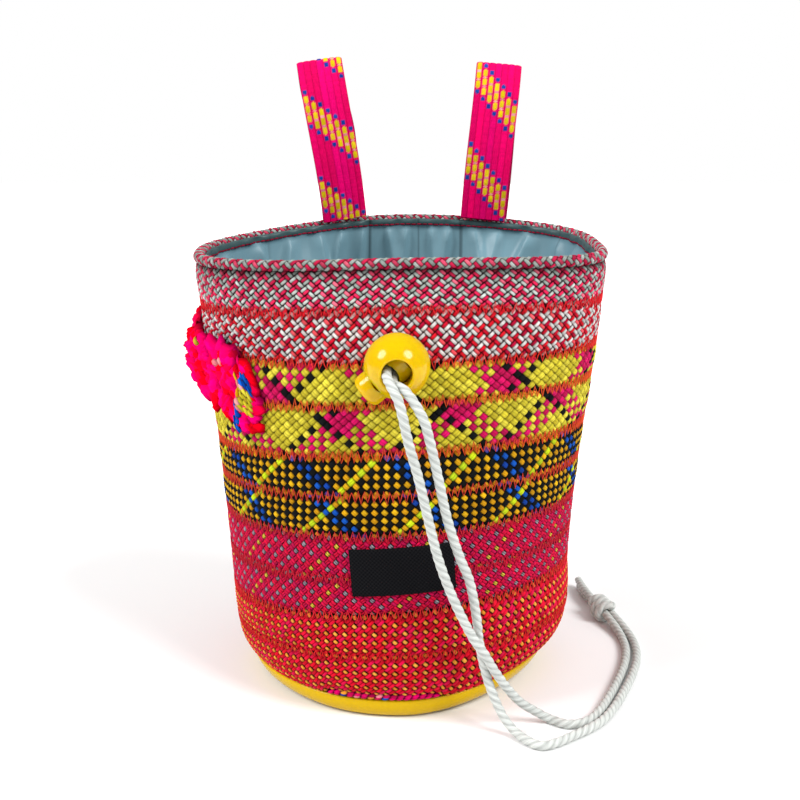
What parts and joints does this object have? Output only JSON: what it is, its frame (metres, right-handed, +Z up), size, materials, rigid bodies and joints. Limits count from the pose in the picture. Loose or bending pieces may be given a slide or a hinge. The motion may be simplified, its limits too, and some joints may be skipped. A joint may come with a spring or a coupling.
{
  "type": "chalk bag",
  "caption": "Climber's chalk bag sewn from rings of flattened rope sheath, open at the mouth, with a nylon lining, vinyl base, belt loops, a brush loop and a drawcord with a ball lock.",
  "frame": {"origin": "middle of the base's underside, on the surface it stands on", "axes": "+Z up through the mouth, -Y towards the front with the lock and label, +X to the right as seen from the front"},
  "size_m": [0.1675, 0.1519, 0.2201],
  "materials": {
    "sheath_grey_raspberry": "woven rope sheath, grey-white and raspberry check",
    "sheath_white_red": "woven rope sheath, white and red check",
    "sheath_yellow_magenta": "woven rope sheath, yellow with magenta blocks and black streaks",
    "sheath_black_orange": "woven rope sheath, black with orange dots, blue pairs and yellow diagonals",
    "sheath_crimson_grey": "woven rope sheath, crimson with grey and yellow dots",
    "sheath_red_orange": "woven rope sheath, red with orange dots",
    "sheath_magenta": "woven rope sheath, magenta with yellow and blue diagonals",
    "sheath_pink": "ruched rope sheath, neon pink and red",
    "lining_nylon": "smooth coated nylon, slight sheen",
    "base_vinyl": "glossy vinyl",
    "label_cloth": "close woven, matte",
    "lock_plastic": "moulded, glossy",
    "cord_white": "three-strand twisted, matte"
  },
  "bodies": {
    "bag": {"sheath_band_1": "sheath_grey_raspberry", "sheath_band_2": "sheath_white_red", "sheath_band_3": "sheath_yellow_magenta", "sheath_band_4": "sheath_yellow_magenta", "sheath_band_5": "sheath_black_orange", "sheath_band_6": "sheath_black_orange", "sheath_band_7": "sheath_crimson_grey", "sheath_band_8": "sheath_crimson_grey", "sheath_band_9": "sheath_red_orange", "sheath_band_10": "sheath_red_orange", "rim_roll": "sheath_grey_raspberry", "lining": "lining_nylon", "base": "base_vinyl", "hem_strip": "sheath_magenta", "belt_loop_left": "sheath_magenta", "belt_loop_right": "sheath_magenta", "brush_loop": "sheath_pink", "label": "label_cloth", "lock_ball": "lock_plastic", "drawcord_left_lock": "cord_white", "drawcord_right_lock": "cord_white", "drawcord_left": "cord_white", "drawcord_right": "cord_white", "drawcord_tail_left": "cord_white", "drawcord_tail_right": "cord_white", "drawcord_knot": "cord_white"},
    "lock_button": {"lock_button": "lock_plastic"}
  },
  "joints": [
    {"name": "lock_button", "type": "slide", "parent": "bag", "child": "lock_button", "axis": [0.76, 0, 0.65], "range_m": [0, 0.004], "stiffness_N_per_m": 300, "springref_m": -0.003}
  ]
}
